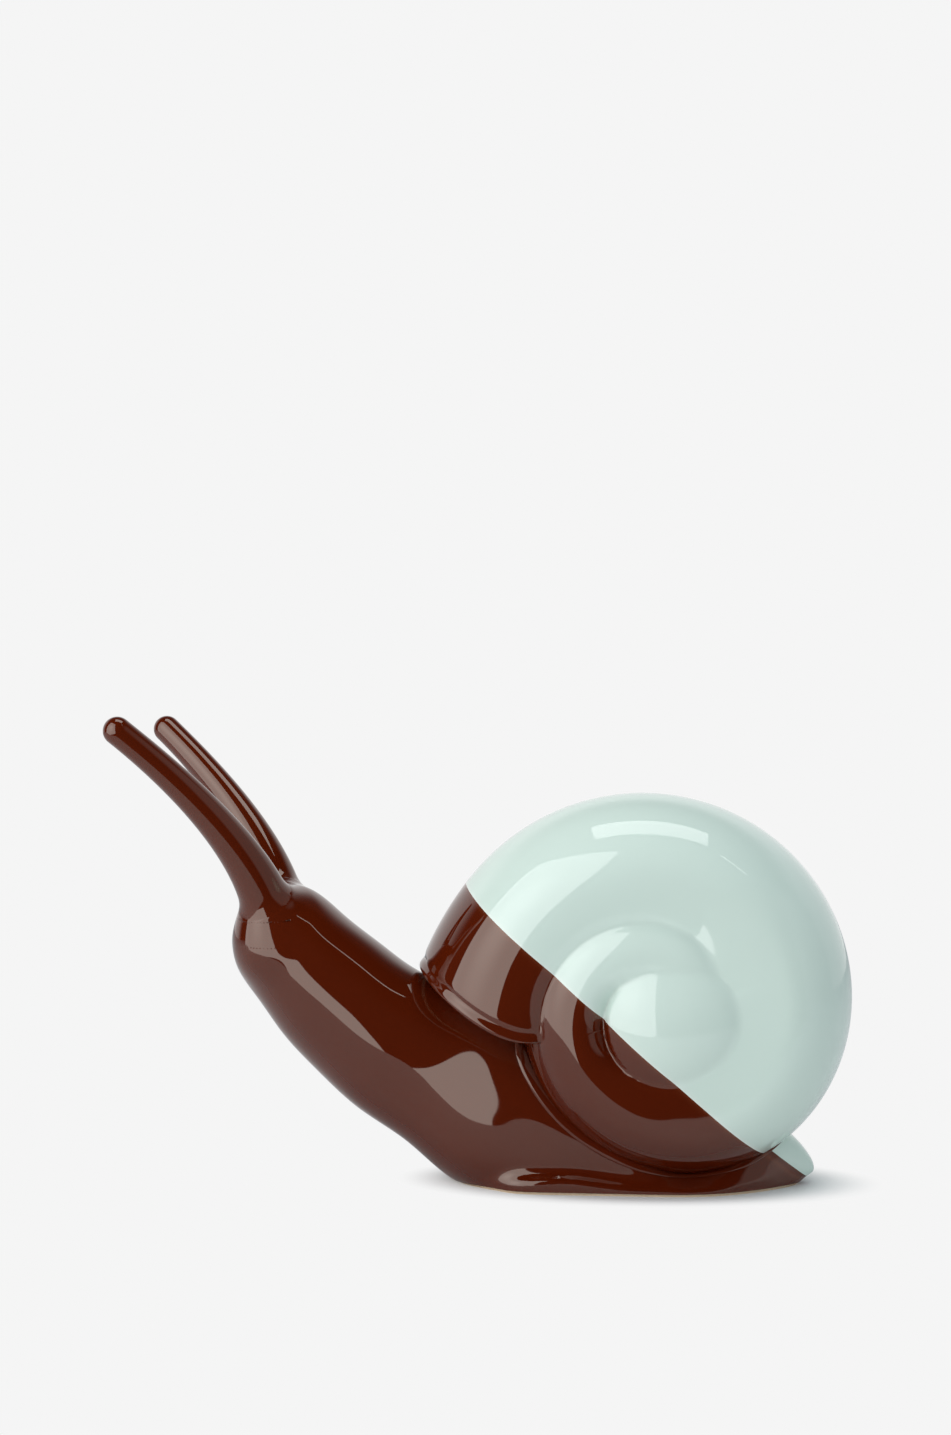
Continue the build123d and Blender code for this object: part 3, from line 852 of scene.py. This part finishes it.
rimAngle = np.linspace(rim["start"], rim["end"], rim["steps"])
rimPath = mantleLine(rimAngle)
bodyOut = -slopeOf(insideBody, rimPath)
turn = np.radians(rimAngle)
shellOut = np.stack([np.cos(turn), np.full_like(turn, rim["shellLean"]), np.sin(turn)], -1)
rimAcross = shellOut - (shellOut * bodyOut).sum(axis=1)[:, None] * bodyOut
rimAcross /= np.linalg.norm(rimAcross, axis=1)[:, None]
rimSize = np.interp(rimAngle, *np.array(rim["size"]).T)
rimForm = outward(*carried(rimPath, rimAcross, bodyOut, roundProfile(rim["profile"], 40), rimSize))
rimBoth = joined([rimForm, mirrored(*rimForm)])
# the rim carries the same painted dip-edge highlight attribute
makePiece("brownGlazeMantleRim", rimBoth, brownGlaze, fields={"thinAndHighlight": thinGlazeAndHighlight(rimBoth[0])})
circle = np.linspace(0, 2 * np.pi, 12, endpoint=False)
circle = np.stack([np.cos(circle), np.sin(circle)], 1)
inward = shellOut + bodyOut
slipPath = rimPath - rim["slipDepth"] * inward / np.linalg.norm(inward, axis=1)[:, None]
taper = np.sin(np.pi * np.linspace(0, 1, rim["steps"])).round(6) ** 0.25
slipForm = outward(*carried(slipPath, rimAcross, bodyOut, circle, rim["slipRadius"] * taper))
slipBoth = joined([slipForm, mirrored(*slipForm)])
makePiece("shellJointSlip", slipBoth, joiningSlip, ["shell_joint_slip"])

# tentacles
headNear = bodyForm[0][:, 0] < tentacle["headEnd"]
head, headNormals = bodyForm[0][headNear], pointNormals(*bodyForm)[headNear]


def rootRing(side):
    # bead of slip round a tentacle's root, just under its skin where it leaves the head
    angle = np.linspace(0, 2 * np.pi, tentacle["ringSteps"], endpoint=False)
    low, high = np.full_like(angle, -tentacle["sunk"]), np.full_like(angle, tentacle["ringReach"])

    def at(share, depth):
        path = tentaclePath(share, side)
        along = tentaclePath(share + 0.01, side) - path
        along /= np.linalg.norm(along, axis=1)[:, None]
        across = np.cross(along, [0, 1.0, 0])
        across /= np.linalg.norm(across, axis=1)[:, None]
        out = np.cos(angle)[:, None] * across + np.sin(angle)[:, None] * np.cross(along, across)
        return path + (tentacleRadius(share) - depth)[:, None] * out, out, along

    for _ in range(16):
        middle = (low + high) / 2
        under = headDistance(at(middle, 0)[0], head, headNormals) < 0
        low, high = np.where(under, middle, low), np.where(under, high, middle)
    path, out, along = at(low, tentacle["ringDepth"])
    return outward(*carried(path, along, out, circle, np.full_like(angle, rim["slipRadius"]), loop=True))


for side, name in ((-1, "left"), (1, "right")):
    form = outward(*tentacleSurface(side, 0))
    points = filletedRoot(*form, head, headNormals)
    tube = clip(points, form[1], headDistance(points, head, headNormals) - 0.1)
    glazePiece("brownGlaze" + name.title() + "Tentacle", tube, brownGlaze,
               ["brown_glaze_" + name + "_tentacle"])
    core = outward(*tentacleSurface(side, underGlaze))
    makePiece(name + "TentacleClay", core, bisque, [name + "_tentacle"])
makePiece("tentacleJointSlip", joined([rootRing(-1), rootRing(1)]), joiningSlip,
          ["tentacle_joint_slip"])
print("pieces made")


# Floor, light and camera

stage = {
    "paper": (0.913, 0.913, 0.913, 1), "floorColor": (0.86, 0.86, 0.86, 1),
    "front": -0.27, "back": 2.5, "side": 2.0, "shadowReach": (0.07, 0.04, 1.0), "fade": (0.9, 1.4),
}
room = {
    # what glossy surfaces see: paper behind that fades upwards and to the right, darkness ahead, a board on the right
    "behind": (0.15, 0.5), "dark": 0.02, "white": 0.92, "right": (0.25, 0.8), "rightWhite": 0.75,
    "above": (0.45, 0.75), "aboveDark": 0.06, "board": (0.72, 0.84), "boardGrey": 0.42,
    # even fill light from left to right
    "across": (-0.8, 0.8), "fillLeft": (0.25, 0.25, 0.25, 1), "fillRight": (0.58, 0.64, 0.68, 1),
}
lamps = {
    # place, target, width, height, brightness
    "overhead": ((0.01, 0.0, 1.25), (0.01, 0.0, 0.1), 0.82, 0.45, 3.2),
    "key": ((-0.7875, -0.7275, 0.79), (-0.0755, 0.014, 0.93), 1.295, 2.0, 1.72),
    "keyGlow": ((-0.7825, -0.7225, 0.79), (-0.0755, 0.014, 0.93), 1.295, 2.0, 1.1),
    "strip": ((0.52, -0.36, 0.95), (-0.08, 0.0, 0.09), 0.03, 0.25, 3.4),
}
cloth = {"middle": (0.5, 0.38, 0), "glow": 2.0, "spread": 0.4}  # hot spot of the key lamp's cloth
view = {"place": (0.024, -1.0, 0.1886), "tilt": 90 - 0.218, "turn": 5.131, "focalPixels": 2500, "imageWidth": 951}


def makeFloor():
    # pale table top whose front edge lies ahead of the object; away from the object it turns into the paper's white
    side = stage["side"]
    mesh = bpy.data.meshes.new("floor")
    mesh.from_pydata([(-side, stage["front"], 0), (side, stage["front"], 0), (side, stage["back"], 0),
                      (-side, stage["back"], 0)], [], [(0, 1, 2, 3)])
    material = bpy.data.materials.new("paperFloor")
    material.use_nodes = True
    nodes, link = material.node_tree.nodes, material.node_tree.links.new
    shader, result = nodes["Principled BSDF"], nodes["Material Output"]
    shader.inputs["Base Color"].default_value = stage["floorColor"]
    shader.inputs["Roughness"].default_value = 0.9
    shader.inputs["Specular IOR Level"].default_value = 0.1
    place = nodes.new("ShaderNodeTexCoord")
    reach = nodes.new("ShaderNodeVectorMath")
    reach.operation = "DIVIDE"
    reach.inputs[1].default_value = stage["shadowReach"]
    link(place.outputs["Object"], reach.inputs[0])
    size = nodes.new("ShaderNodeVectorMath")
    size.operation = "LENGTH"
    link(reach.outputs["Vector"], size.inputs[0])
    fade = ramp(material.node_tree, size.outputs["Value"], stage["fade"])
    ray = nodes.new("ShaderNodeLightPath")
    seen = combined(material.node_tree, "MULTIPLY", ray.outputs["Is Camera Ray"], fade)
    paper = nodes.new("ShaderNodeEmission")
    paper.inputs["Color"].default_value = stage["paper"]
    mix = nodes.new("ShaderNodeMixShader")
    link(seen, mix.inputs["Fac"])
    link(shader.outputs["BSDF"], mix.inputs[1])
    link(paper.outputs["Emission"], mix.inputs[2])
    link(mix.outputs[0], result.inputs["Surface"])
    mesh.materials.append(material)
    floor = bpy.data.objects.new("floor", mesh)
    bpy.context.scene.collection.objects.link(floor)


def softbox(name, place, target, width, height, brightness):
    # rectangular lamp facing the target; brightness is what it looks like in a mirror, 1 being white
    light = bpy.data.lights.new(name, "AREA")
    light.shape = "RECTANGLE"
    light.size, light.size_y, light.energy = width, height, brightness * math.pi * width * height
    lamp = bpy.data.objects.new(name, light)
    lamp.location = place
    away = np.array(place) - np.array(target)
    lamp.rotation_euler = (math.acos(away[2] / np.linalg.norm(away)), 0, math.atan2(away[0], -away[1]))
    bpy.context.scene.collection.objects.link(lamp)
    return lamp


def hotMiddle(lamp):
    # the cloth of a softbox glows more near its middle: a bell curve over the lamp's own width and height
    lamp.data.use_nodes = True
    tree = lamp.data.node_tree
    place = tree.nodes.new("ShaderNodeNewGeometry")
    away = tree.nodes.new("ShaderNodeVectorMath")
    away.operation = "DISTANCE"
    away.inputs[1].default_value = cloth["middle"]
    tree.links.new(place.outputs["Parametric"], away.inputs[0])
    bell = ramp(tree, away.outputs["Value"], (0, cloth["spread"]), cloth["glow"], 1, "SMOOTHERSTEP")
    tree.links.new(bell, tree.nodes["Emission"].inputs["Strength"])


def makeWorld():
    # white paper behind, a dark room in front and a grey board on the right; the camera sees paper all round
    world = bpy.data.worlds.new("studio")
    bpy.context.scene.world = world
    world.use_nodes = True
    tree = world.node_tree
    place = tree.nodes.new("ShaderNodeTexCoord")
    axes = tree.nodes.new("ShaderNodeSeparateXYZ")
    tree.links.new(place.outputs["Generated"], axes.inputs[0])
    x, y, z = axes.outputs
    behind = ramp(tree, y, room["behind"], room["dark"], room["white"])
    wall = combined(tree, "MULTIPLY", behind, ramp(tree, x, room["right"], 1, room["rightWhite"], "LINEAR"))
    paper = combined(tree, "MULTIPLY", wall, ramp(tree, z, room["above"], 1, room["aboveDark"]))
    mirrorRoom = combined(tree, "MAXIMUM", paper, ramp(tree, x, room["board"], 0, room["boardGrey"]))
    across = ramp(tree, x, room["across"], shape="LINEAR")
    fill = mixed(tree, across, room["fillLeft"], room["fillRight"])
    ray = tree.nodes.new("ShaderNodeLightPath")
    lit = mixed(tree, ray.outputs["Is Glossy Ray"], fill, mirrorRoom)
    seen = mixed(tree, ray.outputs["Is Camera Ray"], lit, stage["paper"])
    tree.links.new(seen, tree.nodes["Background"].inputs["Color"])


def makeCamera():
    data = bpy.data.cameras.new("camera")
    data.sensor_fit, data.sensor_width = "HORIZONTAL", 36
    data.lens = data.sensor_width * view["focalPixels"] / view["imageWidth"]
    data.clip_end = 50
    camera = bpy.data.objects.new("camera", data)
    camera.location = view["place"]
    camera.rotation_euler = (math.radians(view["tilt"]), 0, math.radians(view["turn"]))
    bpy.context.scene.collection.objects.link(camera)
    bpy.context.scene.camera = camera


makeFloor()
makeWorld()
softbox("overhead", *lamps["overhead"])
softbox("key", *lamps["key"])
glow = softbox("keyGlow", *lamps["keyGlow"])
glow.visible_diffuse = False  # only its reflection is wanted
hotMiddle(glow)
softbox("strip", *lamps["strip"])
makeCamera()
bpy.context.scene.view_settings.view_transform = "Standard"
print("stage, lights and camera ready")
